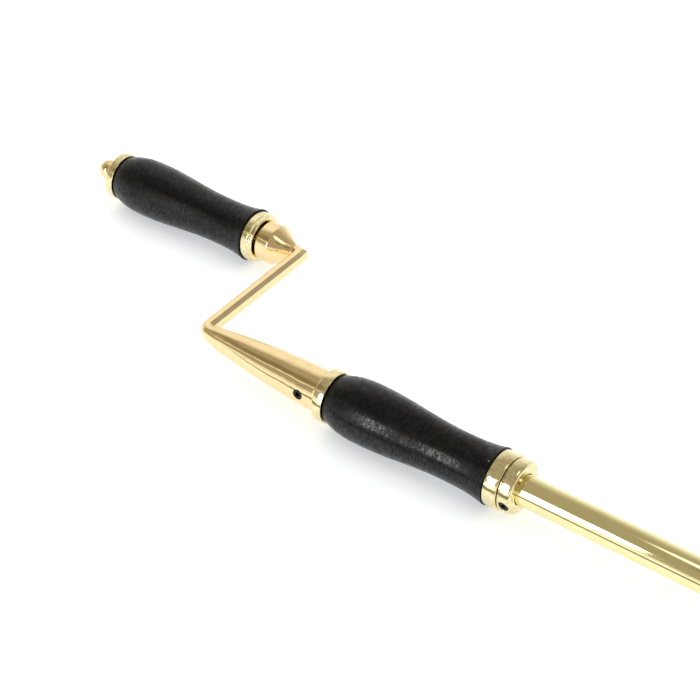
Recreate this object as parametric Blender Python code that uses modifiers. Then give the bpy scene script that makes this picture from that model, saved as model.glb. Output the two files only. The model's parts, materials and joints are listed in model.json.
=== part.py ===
"""Cranked winding rod for a high window.

A brass tube carries a hook at one end and a Z-shaped cast crank at the other.
Two turned wooden grips run freely, one on the tube and one on the crank's spindle.
The rod lies along X with its hook towards +X, and its crank is thrown towards +Y.
"""

import math

import bmesh
import bpy
from mathutils import Vector

MM = 0.001

# ---------------------------------------------------------------- clearances
FIT_GAP = 0.3 * MM        # between pieces that touch on the real rod
RUNNING_GAP = 0.35 * MM   # between a shaft and the bush that turns on it
END_FLOAT = 0.3 * MM      # end play on each side of a thrust washer

# ---------------------------------------------------------- driving dimensions
OVERALL_LENGTH = 1000.0 * MM
CRANK_THROW = 85.0 * MM

TUBE_RADIUS = 8.0 * MM
TUBE_WALL = 1.2 * MM

GRIP_LENGTH = 96.0 * MM          # bare wood between its two shoulders
SPIGOT_WALL = 0.95 * MM          # wood left round the lower grip's bushes
GRIP_START_RISE = 1.7 * MM       # the wood's rises are above its spigots
GRIP_BELLY_RISE = 5.3 * MM
GRIP_WAIST_RISE = 2.2 * MM
GRIP_FLARE_RISE = 4.3 * MM
GRIP_BELLY_AT = 21.0 * MM        # from the fat end
GRIP_FLARE_LENGTH = 24.5 * MM    # from the waist to the flared end
GRIP_SHOULDER_FULLNESS = 2.6
GRIP_FLARE_FULLNESS = 2.85

UPPER_END_FERRULE = {"length": 5.3 * MM, "wall": 2.4 * MM}
UPPER_INNER_FERRULE = {"length": 7.2 * MM, "wall": 3.1 * MM}
LOWER_CRANK_FERRULE = {"length": 6.3 * MM, "wall": 2.8 * MM}
LOWER_HOOK_FERRULE = {"length": 7.9 * MM, "wall": 3.4 * MM}
FERRULE_WEB = 1.2 * MM
STEP_LENGTH = 2.2 * MM           # narrower band on the upper inner ferrule
STEP_DEPTH = 1.0 * MM
STEP_SLOPE = 0.33 * MM           # length of the slope down to it
EDGE = 0.7 * MM                  # eased edge of a turned piece
EDGE_KNEE = 0.21 * MM            # how far in its one middle point lies

BUSH_WALL = 1.4 * MM
BUSH_SLEEVE = 12.0 * MM          # reach into the wood
BUSH_FLANGE = 1.0 * MM
BUSH_FLANGE_RIM = 1.3 * MM
WASHER_THICKNESS = 0.6 * MM

SPINDLE_RADIUS = 4.0 * MM
SPINDLE_SEAT = 13.0 * MM         # depth of the spindle in the boss
STUD_SHOULDER = 1.5 * MM         # from the spindle's surface down to the stud's
STUD_LENGTH = 7.0 * MM

BALL_RADIUS = 6.0 * MM
BALL_NECK_WALL = 1.1 * MM
BALL_NECK_LENGTH = 2.8 * MM

BOSS_LENGTH = 23.8 * MM          # from its face to the middle of the arm
BOSS_RADIUS = 11.5 * MM
BOSS_STRAIGHT = 7.9 * MM
BOSS_TAPER_FULLNESS = 1.1
BOSS_ROUND_SHARE = 0.5           # of its taper that stays round before the bar's facets grow
ARM_WIDTH = 7.0 * MM
ARM_HEIGHT = 8.6 * MM
ARM_CHAMFER = 2.0 * MM
CONE_LENGTH = 81.1 * MM          # from the middle of the arm to its face
CONE_WALL = 3.1 * MM             # round the tube, at its face
CONE_FULLNESS = 1.85
CONE_LEAN = 2.0 * MM             # of its small end towards the upper grip
CONE_ROUND_LENGTH = 40.0 * MM    # over which the bar's facets fade into the cone
BEND_INNER = 0.5 * MM            # inner radius of the crank's two bends
BEND_ANGLE = math.radians(90)
BOSS_BEND_SHARPNESS = 0.7        # 0 is a round outer corner, 1 a square one
CONE_BEND_SHARPNESS = 0.2
TUBE_SEAT = 22.0 * MM            # depth of the tube in the cone
PLUG_LENGTH = 26.0 * MM

SCREW_RADIUS = 2.5 * MM
SCREW_HEX = 2.5 * MM             # across the flats of its socket
SCREW_HEX_DEPTH = 2.0 * MM
SCREW_SINK = 0.5 * MM            # how far a screw sits below the surface
SOCKET_SCREW_SINK = 0.25 * MM
CRANK_SCREW_FROM_FACE = 9.4 * MM
CRANK_SCREW_ANGLE = math.radians(172)   # from +Y towards +Z
COLLAR_SCREW_ANGLE = math.radians(191)
SOCKET_SCREW_ANGLE = math.radians(180)

COLLAR_WALL = 5.8 * MM
COLLAR_LENGTH = 6.2 * MM
COLLAR_ROUND = 1.8 * MM
COLLAR_EDGE = 0.35 * MM

SOCKET_WALL = 2.3 * MM
SOCKET_SEAT = 28.0 * MM          # length of tube inside the hook socket
SOCKET_STRAIGHT = 14.0 * MM
SOCKET_NOSE = 12.0 * MM          # length of the nose beyond the tube
SOCKET_NOSE_WALL = 3.7 * MM
SOCKET_TAPER_FULLNESS = 2.0
SOCKET_SCREW_FROM_EDGE = 7.0 * MM

HOOK_WIRE_RADIUS = 3.2 * MM
HOOK_NECK_TURN = math.radians(60)
HOOK_PAST_BOTTOM = math.radians(30)
HOOK_TIP_SHARES = (0.96, 0.62)   # the wire's radius at its last two points
HOOK_SHANK_IN_PLUG = 3.7 * MM
HOOK_SHANK_FREE = 4.0 * MM       # bare shank beyond the lock nut
NUT_WALL = 2.0 * MM              # from its bore to a flat
NUT_THICKNESS = 5.0 * MM

# ------------------------------------------------------------ mesh resolution
ROUND_STEPS = 32                 # facets round a turned piece
SCREW_STEPS = 24
BELLY_RINGS = 6                  # rings of wood up to the belly, waist and flare
WAIST_RINGS = 8
FLARE_RINGS = 5
COLLAR_RINGS = 4
SOCKET_RINGS = 6
HOOK_STEP = math.radians(15)     # angle between points along the hook
HOOK_BEVEL_RESOLUTION = 4        # twelve sides, so one faces the end and one the ground
SECTION_STEPS = 4                # points along each side of the crank's section
BEND_STEPS = 4
TAPER_RINGS = 6
CONE_RINGS = 12
BALL_RINGS = 9
MERGE_DISTANCE = 0.01 * MM
CUT_OVERSHOOT = 2.0 * MM         # how far a cutter passes the face it cuts
SHARP_ANGLE = math.radians(30)   # steeper edges are shaded sharp
HEXAGON_SIDES = 6

# -------------------------------------------------------------- derived sizes
SPIGOT_RADIUS = TUBE_RADIUS + RUNNING_GAP + BUSH_WALL + FIT_GAP + SPIGOT_WALL
GRIP_START_RADIUS = SPIGOT_RADIUS + GRIP_START_RISE
GRIP_BELLY_RADIUS = SPIGOT_RADIUS + GRIP_BELLY_RISE
GRIP_WAIST_RADIUS = SPIGOT_RADIUS + GRIP_WAIST_RISE
GRIP_FLARE_RADIUS = SPIGOT_RADIUS + GRIP_FLARE_RISE
GRIP_WAIST_AT = GRIP_LENGTH - GRIP_FLARE_LENGTH
STUD_RADIUS = SPINDLE_RADIUS - STUD_SHOULDER
BALL_NECK_RADIUS = STUD_RADIUS + FIT_GAP + BALL_NECK_WALL
TUBE_BORE = TUBE_RADIUS + FIT_GAP            # of what is pushed over the tube
TUBE_INNER_RADIUS = TUBE_RADIUS - TUBE_WALL
CONE_RADIUS = TUBE_BORE + CONE_WALL
COLLAR_RADIUS = TUBE_BORE + COLLAR_WALL
SOCKET_RADIUS = TUBE_BORE + SOCKET_WALL
SHANK_BORE = HOOK_WIRE_RADIUS + FIT_GAP
SOCKET_NOSE_RADIUS = SHANK_BORE + SOCKET_NOSE_WALL
HOOK_SHANK_SEAT = SOCKET_NOSE + FIT_GAP + HOOK_SHANK_IN_PLUG
HEXAGON_CORNER = 1 / math.cos(math.pi / HEXAGON_SIDES)   # per unit across its flats

# ------------------------------------------------------------- derived places
# Stations along the rod, counted from the lower grip's fat shoulder.
WASHER_STACK = WASHER_THICKNESS + 2 * END_FLOAT
LOWER_WOOD = 0.0
CONE_FACE = LOWER_WOOD - LOWER_CRANK_FERRULE["length"] - WASHER_STACK
CRANK_SCREW = CONE_FACE - CRANK_SCREW_FROM_FACE
ARM_LINE = CONE_FACE - CONE_LENGTH
BOSS_FACE = ARM_LINE - BOSS_LENGTH
UPPER_WOOD = BOSS_FACE - WASHER_STACK - UPPER_INNER_FERRULE["length"] - GRIP_LENGTH
BALL_FACE = UPPER_WOOD - UPPER_END_FERRULE["length"] - WASHER_STACK
BALL_SINK = BALL_RADIUS - math.sqrt(BALL_RADIUS ** 2 - BALL_NECK_RADIUS ** 2)
BALL_CENTRE = BALL_FACE - BALL_NECK_LENGTH - BALL_RADIUS + BALL_SINK
BALL_TIP = BALL_CENTRE - BALL_RADIUS
COLLAR_FACE = LOWER_WOOD + GRIP_LENGTH + LOWER_HOOK_FERRULE["length"] + WASHER_STACK

SECTION_RADIUS = (ARM_WIDTH + ARM_HEIGHT) / 4   # of the circle the bar grows into

HOOK_TIP = BALL_TIP + OVERALL_LENGTH
HOOK_RADIUS = GRIP_BELLY_RADIUS - HOOK_WIRE_RADIUS   # so that the rod lies level
HOOK_NECK_RADIUS = HOOK_RADIUS * math.cos(HOOK_NECK_TURN) / (1 - math.cos(HOOK_NECK_TURN))
HOOK_CENTRE = HOOK_TIP - HOOK_RADIUS - HOOK_WIRE_RADIUS
HOOK_NECK_START = HOOK_CENTRE - (HOOK_RADIUS + HOOK_NECK_RADIUS) * math.sin(HOOK_NECK_TURN)
NUT_FACE = HOOK_NECK_START - HOOK_SHANK_FREE - NUT_THICKNESS
SOCKET_END = NUT_FACE - FIT_GAP
TUBE_END = SOCKET_END - SOCKET_NOSE - FIT_GAP
TUBE_START = CONE_FACE - TUBE_SEAT + FIT_GAP

# The origin is under the middle of the whole rod, on the surface it lies on.
MIDDLE_X = (BALL_TIP + HOOK_TIP) / 2
POLE_Y = -CRANK_THROW / 2
GRIP_Y = POLE_Y + CRANK_THROW
AXIS_Z = GRIP_BELLY_RADIUS

for old_object in list(bpy.data.objects):
    bpy.data.objects.remove(old_object, do_unlink=True)

parts = bpy.data.collections.new("winding_rod")
bpy.context.scene.collection.children.link(parts)
cutters = bpy.data.collections.new("cutters")
bpy.context.scene.collection.children.link(cutters)


# ------------------------------------------------------------------ materials
def make_material(name, colour, roughness, metallic):
    material = bpy.data.materials.new(name)
    material.use_nodes = True
    shader = material.node_tree.nodes["Principled BSDF"]
    shader.inputs["Base Color"].default_value = (*colour, 1.0)
    shader.inputs["Roughness"].default_value = roughness
    shader.inputs["Metallic"].default_value = metallic
    return material


CAST_BRASS = make_material("cast_brass", (0.83, 0.62, 0.34), 0.16, 1.0)
TURNED_BRASS = make_material("turned_brass", (0.78, 0.65, 0.33), 0.22, 1.0)
TUBE_BRASS = make_material("tube_brass", (0.84, 0.72, 0.36), 0.14, 1.0)
BUSH_BRONZE = make_material("bush_bronze", (0.55, 0.36, 0.20), 0.45, 1.0)
EBONISED_WOOD = make_material("ebonised_wood", (0.018, 0.017, 0.017), 0.38, 0.0)
STEEL = make_material("steel", (0.45, 0.44, 0.43), 0.32, 1.0)
BLACK_STEEL = make_material("black_steel", (0.05, 0.05, 0.05), 0.42, 1.0)


# -------------------------------------------------------------------- helpers
def place(piece, station, axis_y):
    """Put a piece whose own axis is local Z on a line along X."""
    piece.location = (station - MIDDLE_X, axis_y, AXIS_Z)
    piece.rotation_euler = (0, math.radians(90), 0)


def enclosed_area(outline):
    """Signed area inside an outline of (along, radius) points."""
    total = 0.0
    for (along_a, radius_a), (along_b, radius_b) in zip(outline, outline[1:] + outline[:1]):
        total += along_a * radius_b - along_b * radius_a
    return total / 2


def turned(name, outline, axis_y, material, is_ring, collection=parts):
    """Turn an outline of (station, radius) points round the line at axis_y."""
    if enclosed_area(outline) < 0:
        outline = outline[::-1]
    base = outline[0][0]
    mesh = bpy.data.meshes.new(name)
    edges = [(index, index + 1) for index in range(len(outline) - 1)]
    if is_ring:
        edges.append((len(outline) - 1, 0))
    points = [(radius, 0.0, station - base) for station, radius in outline]
    mesh.from_pydata(points, edges, [])
    piece = bpy.data.objects.new(name, mesh)
    collection.objects.link(piece)
    screw = piece.modifiers.new("turn", "SCREW")
    screw.axis = "Z"
    screw.angle = math.tau
    screw.steps = ROUND_STEPS
    screw.render_steps = ROUND_STEPS
    screw.use_merge_vertices = True
    screw.merge_threshold = MERGE_DISTANCE
    screw.use_smooth_shade = False
    if material:
        mesh.materials.append(material)
    place(piece, base, axis_y)
    return piece


def straight(start, end, outer, inner=0.0):
    """Outline of a plain rod, or of a plain tube when inner is given."""
    if inner:
        return [(start, outer), (end, outer), (end, inner), (start, inner)]
    return [(start, 0.0), (start, outer), (end, outer), (end, 0.0)]


def hide_cutter(cutter):
    cutter.hide_render = True
    cutter.display_type = "WIRE"


def cut(piece, cutter):
    hide_cutter(cutter)
    boolean = piece.modifiers.new(cutter.name, "BOOLEAN")
    boolean.operation = "DIFFERENCE"
    boolean.solver = "EXACT"
    boolean.object = cutter


def prism(name, radius, low, high, sides, collection, material=None):
    """A prism or cylinder along its own Z, from height low to height high."""
    mesh = bpy.data.meshes.new(name)
    shape = bmesh.new()
    bmesh.ops.create_cone(
        shape, cap_ends=True, segments=sides, radius1=radius, radius2=radius, depth=high - low)
    bmesh.ops.translate(shape, verts=shape.verts, vec=(0, 0, (high + low) / 2))
    shape.to_mesh(mesh)
    shape.free()
    piece = bpy.data.objects.new(name, mesh)
    collection.objects.link(piece)
    if material:
        mesh.materials.append(material)
    return piece


def point_outwards(piece, station, angle):
    """Stand a piece's own Z square to the pole, at an angle from +Y towards +Z."""
    piece.location = (station - MIDDLE_X, POLE_Y, AXIS_Z)
    piece.rotation_euler = (angle - math.radians(90), 0, 0)


def screw_hole(piece, station, angle, bore, outer):
    """Cut a set screw's hole through one side of a piece, from its bore outwards."""
    radius = SCREW_RADIUS + FIT_GAP
    low = bore - CUT_OVERSHOOT
    high = outer + CUT_OVERSHOOT
    cutter = prism(f"{piece.name}_screw_hole", radius, low, high, SCREW_STEPS, cutters)
    point_outwards(cutter, station, angle)
    cut(piece, cutter)


def set_screw(name, station, angle, tip, head):
    """Grub screw with a hexagon socket, from radius tip to radius head."""
    screw = prism(name, SCREW_RADIUS, tip, head, SCREW_STEPS, parts, BLACK_STEEL)
    point_outwards(screw, station, angle)
    corner = SCREW_HEX / 2 * HEXAGON_CORNER
    floor = head - min(SCREW_HEX_DEPTH, (head - tip) / 2)
    socket = prism(f"{name}_hex", corner, floor, head + CUT_OVERSHOOT, HEXAGON_SIDES, cutters)
    point_outwards(socket, station, angle)
    cut(screw, socket)


# ---------------------------------------------------------------------- grips
def spigot_length(ferrule):
    return ferrule["length"] - BUSH_FLANGE - FERRULE_WEB - 2 * FIT_GAP


def wood_radius(along):
    """Radius of the bare wood at a distance from its fat shoulder."""
    if along < GRIP_BELLY_AT:
        rise = 1 - (1 - along / GRIP_BELLY_AT) ** GRIP_SHOULDER_FULLNESS
        return GRIP_START_RADIUS + (GRIP_BELLY_RADIUS - GRIP_START_RADIUS) * rise
    if along < GRIP_WAIST_AT:
        turn = math.pi * (along - GRIP_BELLY_AT) / (GRIP_WAIST_AT - GRIP_BELLY_AT)
        drop = (1 - math.cos(turn)) / 2
        return GRIP_BELLY_RADIUS - (GRIP_BELLY_RADIUS - GRIP_WAIST_RADIUS) * drop
    flare = ((along - GRIP_WAIST_AT) / (GRIP_LENGTH - GRIP_WAIST_AT)) ** GRIP_FLARE_FULLNESS
    return GRIP_WAIST_RADIUS + (GRIP_FLARE_RADIUS - GRIP_WAIST_RADIUS) * flare


def even_steps(start, end, count):
    return [start + (end - start) * index / count for index in range(count)]


def wooden_grip(name, shoulder, axis_y, bore, fat_ferrule, flared_ferrule):
    along = even_steps(0, GRIP_BELLY_AT, BELLY_RINGS)
    along += even_steps(GRIP_BELLY_AT, GRIP_WAIST_AT, WAIST_RINGS)
    along += even_steps(GRIP_WAIST_AT, GRIP_LENGTH, FLARE_RINGS)
    along.append(GRIP_LENGTH)
    fat_end = shoulder - spigot_length(fat_ferrule)
    flared_end = shoulder + GRIP_LENGTH + spigot_length(flared_ferrule)
    outline = [(fat_end, bore), (fat_end, SPIGOT_RADIUS), (shoulder, SPIGOT_RADIUS)]
    outline += [(shoulder + step, wood_radius(step)) for step in along]
    outline += [(shoulder + GRIP_LENGTH, SPIGOT_RADIUS), (flared_end, SPIGOT_RADIUS)]
    outline.append((flared_end, bore))
    return turned(name, outline, axis_y, EBONISED_WOOD, True)


def sleeve_radius(shaft):
    return shaft + RUNNING_GAP + BUSH_WALL


def flange_radius(shaft):
    return sleeve_radius(shaft) + BUSH_FLANGE_RIM


def from_shoulder(points, shoulder, side):
    """Place (distance, radius) points that run outwards from a wooden shoulder."""
    return [(shoulder + side * distance, radius) for distance, radius in points]


def ferrule(name, shoulder, side, axis_y, shaft, size, step=0.0):
    """Ring cap over the wood's spigot, with a recess for the bush's flange."""
    length = size["length"]
    radius = SPIGOT_RADIUS + FIT_GAP + size["wall"]
    sleeve = sleeve_radius(shaft) + FIT_GAP
    recess = flange_radius(shaft) + FIT_GAP
    recess_floor = length - BUSH_FLANGE - FIT_GAP
    spigot_floor = spigot_length(size) + FIT_GAP
    points = [(FIT_GAP, SPIGOT_RADIUS + FIT_GAP), (FIT_GAP, radius)]
    if step:
        step_at = length - STEP_LENGTH
        points += [(step_at - STEP_SLOPE, radius), (step_at, radius - step)]
        radius -= step
    points += [(length - EDGE, radius)]
    points += [(length - EDGE_KNEE, radius - EDGE_KNEE)]
    points += [(length, radius - EDGE)]
    points += [(length, recess), (recess_floor, recess), (recess_floor, sleeve)]
    points += [(spigot_floor, sleeve), (spigot_floor, SPIGOT_RADIUS + FIT_GAP)]
    return turned(name, from_shoulder(points, shoulder, side), axis_y, TURNED_BRASS, True)


def bush(name, shoulder, side, axis_y, shaft, size):
    """Flanged bush: its flange is flush with the ferrule and its sleeve is in the wood."""
    length = size["length"]
    bore = shaft + RUNNING_GAP
    sleeve = sleeve_radius(shaft)
    points = [(length, bore), (length, flange_radius(shaft))]
    points += [(length - BUSH_FLANGE, flange_radius(shaft)), (length - BUSH_FLANGE, sleeve)]
    points += [(-BUSH_SLEEVE, sleeve), (-BUSH_SLEEVE, bore)]
    return turned(name, from_shoulder(points, shoulder, side), axis_y, BUSH_BRONZE, True)


def washer(name, start, axis_y, shaft, outer):
    outline = straight(start, start + WASHER_THICKNESS, outer, shaft + RUNNING_GAP)
    return turned(name, outline, axis_y, TURNED_BRASS, True)


def grip_set(prefix, shoulder, axis_y, shaft, fat_name, fat, flared_name, flared, step=0.0):
    """One wooden grip with its two ferrules and two bushes."""
    far_shoulder = shoulder + GRIP_LENGTH
    bore = sleeve_radius(shaft) + FIT_GAP
    wooden_grip(f"{prefix}_grip", shoulder, axis_y, bore, fat, flared)
    ferrule(f"{prefix}_{fat_name}_ferrule", shoulder, -1, axis_y, shaft, fat)
    ferrule(f"{prefix}_{flared_name}_ferrule", far_shoulder, 1, axis_y, shaft, flared, step)
    bush(f"{prefix}_{fat_name}_bush", shoulder, -1, axis_y, shaft, fat)
    bush(f"{prefix}_{flared_name}_bush", far_shoulder, 1, axis_y, shaft, flared)


def upper_grip():
    fat = UPPER_END_FERRULE
    flared = UPPER_INNER_FERRULE
    grip_set("upper", UPPER_WOOD, GRIP_Y, SPINDLE_RADIUS, "end", fat, "inner", flared, STEP_DEPTH)
    outer = flange_radius(SPINDLE_RADIUS)
    washer("upper_end_washer", BALL_FACE + END_FLOAT, GRIP_Y, SPINDLE_RADIUS, outer)
    inner_start = BOSS_FACE - END_FLOAT - WASHER_THICKNESS
    washer("upper_inner_washer", inner_start, GRIP_Y, SPINDLE_RADIUS, outer)


def lower_grip():
    fat = LOWER_CRANK_FERRULE
    flared = LOWER_HOOK_FERRULE
    grip_set("lower", LOWER_WOOD, POLE_Y, TUBE_RADIUS, "crank", fat, "hook", flared)
    washer("lower_crank_washer", CONE_FACE + END_FLOAT, POLE_Y, TUBE_RADIUS, CONE_RADIUS)
    hook_side = COLLAR_FACE - END_FLOAT - WASHER_THICKNESS
    washer("lower_hook_washer", hook_side, POLE_Y, TUBE_RADIUS, COLLAR_RADIUS - EDGE)


# ---------------------------------------------------------- crank and spindle
def section_corners():
    """Corners of the arm's chamfered bar, as (across, up) from its middle."""
    half_width = ARM_WIDTH / 2
    half_height = ARM_HEIGHT / 2
    corners = []
    for across, up in ((1, 1), (-1, 1), (-1, -1), (1, -1)):
        side = (across * half_width, up * (half_height - ARM_CHAMFER))
        flat = (across * (half_width - ARM_CHAMFER), up * half_height)
        corners += [side, flat] if across == up else [flat, side]
    return [Vector(corner) for corner in corners]


def section_points(size, roundness):
    """Ring of (across, up) points between the chamfered bar and a circle.

    size is the radius of the circle, and the bar grows with it.
    """
    corners = section_corners()
    growth = size / SECTION_RADIUS
    points = []
    for index, corner in enumerate(corners):
        following = corners[(index + 1) % len(corners)]
        start = math.atan2(corner.y, corner.x)
        sweep = (math.atan2(following.y, following.x) - start) % math.tau
        for step in range(SECTION_STEPS):
            share = step / SECTION_STEPS
            flat = corner.lerp(following, share) * growth
            angle = start + sweep * share
            circle = Vector((math.cos(angle), math.sin(angle))) * size
            points.append(flat.lerp(circle, roundness))
    return points


def smooth(share):
    share = min(max(share, 0.0), 1.0)
    return share * share * (3 - 2 * share)


def bend(corner, side, first, second, sharpness):
    """Rings that turn the bar square, about a point on its inner side."""
    reach = ARM_WIDTH / 2 + BEND_INNER
    pivot = corner + (first + second) * reach * side
    rings = []
    for step in range(BEND_STEPS + 1):
        angle = BEND_ANGLE * step / BEND_STEPS
        across = first * math.cos(angle) + second * math.sin(angle)
        corner_reach = 1 / max(math.cos(angle), math.sin(angle))
        outer = (ARM_WIDTH + BEND_INNER) * (1 + sharpness * (corner_reach - 1))
        centre = pivot - across * side * (outer + BEND_INNER) / 2
        width = (outer - BEND_INNER) / ARM_WIDTH
        rings.append((centre, across * width, SECTION_RADIUS, 0.0))
    return rings


def crank_stations():
    """Rings of the crank, from the boss to the cone: centre, across, radius, roundness."""
    along_x = Vector((1, 0, 0))
    along_y = Vector((0, 1, 0))
    top = Vector((ARM_LINE - MIDDLE_X, GRIP_Y, AXIS_Z))
    foot = Vector((ARM_LINE - MIDDLE_X, POLE_Y, AXIS_Z))
    bottom = foot + along_y * CONE_LEAN
    clear = ARM_WIDTH / 2 + BEND_INNER

    rings = [(top - along_x * BOSS_LENGTH, along_y, BOSS_RADIUS, 1.0)]
    taper = BOSS_LENGTH - BOSS_STRAIGHT - clear
    for share in even_steps(0, 1, TAPER_RINGS):
        radius = BOSS_RADIUS - (BOSS_RADIUS - SECTION_RADIUS) * share ** BOSS_TAPER_FULLNESS
        centre = top - along_x * (clear + taper * (1 - share))
        facets = smooth((share - BOSS_ROUND_SHARE) / (1 - BOSS_ROUND_SHARE))
        rings.append((centre, along_y, radius, 1 - facets))
    rings += bend(top, -1, along_y, along_x, BOSS_BEND_SHARPNESS)
    rings.append((top.lerp(bottom, 0.5), along_x, SECTION_RADIUS, 0.0))
    rings += bend(bottom, 1, along_x, along_y, CONE_BEND_SHARPNESS)
    for index in range(1, CONE_RINGS + 1):
        along = clear + (CONE_LENGTH - clear) * index / CONE_RINGS
        left = 1 - along / CONE_LENGTH
        centre = foot + along_x * along + along_y * CONE_LEAN * left
        radius = CONE_RADIUS - (CONE_RADIUS - SECTION_RADIUS) * left ** CONE_FULLNESS
        rings.append((centre, along_y, radius, smooth(along / CONE_ROUND_LENGTH)))
    return rings


def crank():
    """Z-shaped casting: a boss for the spindle, an arm, and a long cone over the tube."""
    shape = bmesh.new()
    previous = None
    for centre, across, radius, roundness in crank_stations():
        ring = []
        for point in section_points(radius, roundness):
            ring.append(shape.verts.new(centre + across * point.x + Vector((0, 0, point.y))))
        if previous is None:
            shape.faces.new(ring)
        else:
            for index, vertex in enumerate(ring):
                after = (index + 1) % len(ring)
                shape.faces.new((previous[index], previous[after], ring[after], vertex))
        previous = ring
    shape.faces.new(previous)
    bmesh.ops.recalc_face_normals(shape, faces=shape.faces)
    mesh = bpy.data.meshes.new("crank")
    shape.to_mesh(mesh)
    shape.free()
    mesh.materials.append(CAST_BRASS)
    casting = bpy.data.objects.new("crank", mesh)
    parts.objects.link(casting)

    spindle_bore = SPINDLE_RADIUS + FIT_GAP
    spindle_seat = straight(BOSS_FACE - CUT_OVERSHOOT, BOSS_FACE + SPINDLE_SEAT, spindle_bore)
    cut(casting, turned("spindle_seat", spindle_seat, GRIP_Y, None, False, cutters))
    tube_seat = straight(CONE_FACE - TUBE_SEAT, CONE_FACE + CUT_OVERSHOOT, TUBE_BORE)
    cut(casting, turned("tube_seat", tube_seat, POLE_Y, None, False, cutters))
    screw_hole(casting, CRANK_SCREW, CRANK_SCREW_ANGLE, TUBE_BORE, CONE_RADIUS)


def spindle():
    """Steel rod fixed in the boss, turned down to a stud for the ball nut."""
    shoulder = BALL_FACE + END_FLOAT
    outline = [
        (BALL_FACE - STUD_LENGTH, 0.0),
        (BALL_FACE - STUD_LENGTH, STUD_RADIUS),
        (shoulder, STUD_RADIUS),
        (shoulder, SPINDLE_RADIUS),
        (BOSS_FACE + SPINDLE_SEAT - FIT_GAP, SPINDLE_RADIUS),
        (BOSS_FACE + SPINDLE_SEAT - FIT_GAP, 0.0),
    ]
    turned("grip_spindle", outline, GRIP_Y, STEEL, False)


def ball_nut():
    """Ball finial with a short neck and a blind hole for the spindle's stud."""
    outline = [(BALL_FACE - STUD_LENGTH - FIT_GAP, 0.0)]
    outline.append((BALL_FACE - STUD_LENGTH - FIT_GAP, STUD_RADIUS + FIT_GAP))
    outline.append((BALL_FACE, STUD_RADIUS + FIT_GAP))
    outline.append((BALL_FACE, BALL_NECK_RADIUS))
    start = math.asin(BALL_NECK_RADIUS / BALL_RADIUS)
    for index in range(BALL_RINGS + 1):
        angle = start + (math.pi - start) * index / BALL_RINGS
        radius = BALL_RADIUS * math.sin(angle) if index < BALL_RINGS else 0.0
        outline.append((BALL_CENTRE + BALL_RADIUS * math.cos(angle), radius))
    turned("ball_nut", outline, GRIP_Y, CAST_BRASS, False)


# ---------------------------------------------------------- tube and collar
def pole_tube():
    outline = straight(TUBE_START, TUBE_END, TUBE_RADIUS, TUBE_INNER_RADIUS)
    tube = turned("pole_tube", outline, POLE_Y, TUBE_BRASS, True)
    screw_hole(tube, CRANK_SCREW, CRANK_SCREW_ANGLE, TUBE_INNER_RADIUS, TUBE_RADIUS)


def tube_plugs():
    """Solid plug behind the crank's screw, and a bored one for the hook's shank."""
    radius = TUBE_INNER_RADIUS - FIT_GAP
    crank_plug = straight(TUBE_START, TUBE_START + PLUG_LENGTH, radius)
    turned("crank_end_plug", crank_plug, POLE_Y, STEEL, False)
    hook_plug = straight(TUBE_END - PLUG_LENGTH, TUBE_END, radius, SHANK_BORE)
    turned("hook_end_plug", hook_plug, POLE_Y, STEEL, True)


def crank_set_screw():
    head = CONE_RADIUS - SCREW_SINK
    set_screw("crank_set_screw", CRANK_SCREW, CRANK_SCREW_ANGLE, TUBE_INNER_RADIUS, head)


def stop_collar():
    """Collar that keeps the lower grip up against the crank."""
    end = COLLAR_FACE + COLLAR_LENGTH
    outline = [(COLLAR_FACE, TUBE_BORE), (COLLAR_FACE, COLLAR_RADIUS - COLLAR_EDGE)]
    outline.append((COLLAR_FACE + COLLAR_EDGE, COLLAR_RADIUS))
    for index in range(COLLAR_RINGS + 1):
        angle = math.radians(90) * index / COLLAR_RINGS
        along = end - COLLAR_ROUND + COLLAR_ROUND * math.sin(angle)
        outline.append((along, COLLAR_RADIUS - COLLAR_ROUND + COLLAR_ROUND * math.cos(angle)))
    outline.append((end, TUBE_BORE))
    collar = turned("stop_collar", outline, POLE_Y, TURNED_BRASS, True)
    station = COLLAR_FACE + COLLAR_LENGTH / 2
    screw_hole(collar, station, COLLAR_SCREW_ANGLE, TUBE_BORE, COLLAR_RADIUS)
    head = COLLAR_RADIUS - SCREW_SINK
    set_screw("collar_set_screw", station, COLLAR_SCREW_ANGLE, TUBE_BORE, head)


# ------------------------------------------------------------------- hook end
def hook_socket():
    """Tapered cap over the tube's end, bored for the hook's shank."""
    start = TUBE_END - SOCKET_SEAT
    taper_start = start + SOCKET_STRAIGHT
    taper_end = SOCKET_END - EDGE
    outline = [(start, TUBE_BORE), (start, SOCKET_RADIUS - EDGE), (start + EDGE, SOCKET_RADIUS)]
    outline.append((taper_start, SOCKET_RADIUS))
    for index in range(1, SOCKET_RINGS + 1):
        share = index / SOCKET_RINGS
        drop = (SOCKET_RADIUS - SOCKET_NOSE_RADIUS) * share ** SOCKET_TAPER_FULLNESS
        outline.append((taper_start + (taper_end - taper_start) * share, SOCKET_RADIUS - drop))
    outline.append((SOCKET_END, SOCKET_NOSE_RADIUS - EDGE))
    outline += [(SOCKET_END, SHANK_BORE), (TUBE_END + FIT_GAP, SHANK_BORE)]
    outline.append((TUBE_END + FIT_GAP, TUBE_BORE))
    socket = turned("hook_socket", outline, POLE_Y, TURNED_BRASS, True)
    station = start + SOCKET_SCREW_FROM_EDGE
    screw_hole(socket, station, SOCKET_SCREW_ANGLE, TUBE_BORE, SOCKET_RADIUS)
    head = SOCKET_RADIUS - SOCKET_SCREW_SINK
    set_screw("socket_set_screw", station, SOCKET_SCREW_ANGLE, TUBE_BORE, head)


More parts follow.
